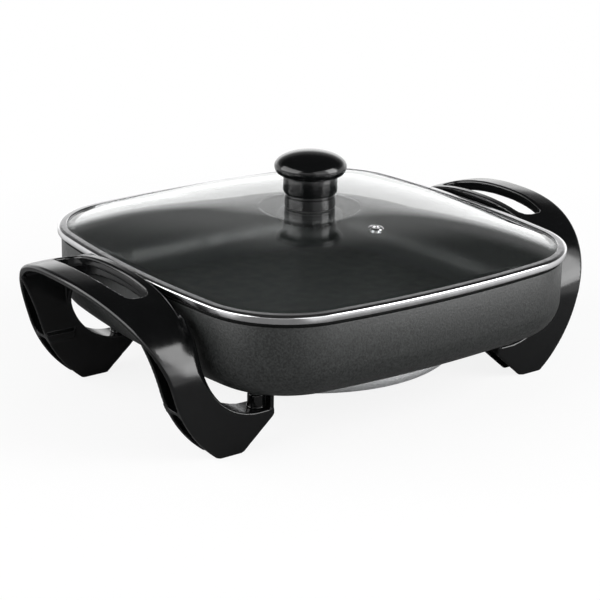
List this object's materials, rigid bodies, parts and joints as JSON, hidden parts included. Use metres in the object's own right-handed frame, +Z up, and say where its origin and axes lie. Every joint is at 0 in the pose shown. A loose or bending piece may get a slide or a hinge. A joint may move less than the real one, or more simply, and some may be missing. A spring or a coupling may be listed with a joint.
{
  "type": "electric skillet",
  "caption": "Countertop electric skillet: rounded-square non-stick pan on two arched handles, round heater plate with a probe socket below, lift-off domed glass lid with a steel rim and a knob.",
  "frame": {"origin": "on the worktop, under the middle of the pan", "axes": "+X along the two handles, towards the side with the probe socket; -Y the front; +Z up"},
  "size_m": [0.4044, 0.305, 0.1639],
  "materials": {
    "nonstick_aluminium": "dark charcoal non-stick coating, satin outside, matt inside",
    "cast_aluminium": "bare casting, satin",
    "element_steel": "drawn tube, oxidised",
    "plated_steel": "zinc or nickel plated",
    "ceramic": "unglazed ceramic",
    "guard_plastic": "moulded, satin",
    "phenolic": "black, high gloss",
    "lid_glass": "clear tempered glass",
    "stainless_rim": "polished stainless steel",
    "brass": "turned",
    "silicone": "matt"
  },
  "bodies": {
    "base": {"pan": "nonstick_aluminium", "heater_plate": "cast_aluminium", "heating_element": "element_steel", "terminal_pins": "plated_steel", "pin_insulators": "ceramic", "probe_sleeve": "plated_steel", "pin_guard": "guard_plastic", "pin_guard_screws": "plated_steel", "left_handle": "phenolic", "left_handle_screws": "plated_steel", "left_handle_washers": "plated_steel", "right_handle": "phenolic", "right_handle_screws": "plated_steel", "right_handle_washers": "plated_steel"},
    "lid": {"lid_glass": "lid_glass", "lid_rim": "stainless_rim", "vent_eyelet": "stainless_rim", "knob_cap": "phenolic", "knob_collar": "phenolic", "knob_insert": "brass", "knob_top_gasket": "silicone", "knob_lower_gasket": "silicone", "knob_lower_seat": "phenolic", "knob_washer": "plated_steel", "knob_screw": "plated_steel"}
  },
  "joints": [
    {"name": "lid_lift", "type": "slide", "parent": "base", "child": "lid", "axis": [0, 0, 1], "range_m": [0, 0.12]}
  ]
}
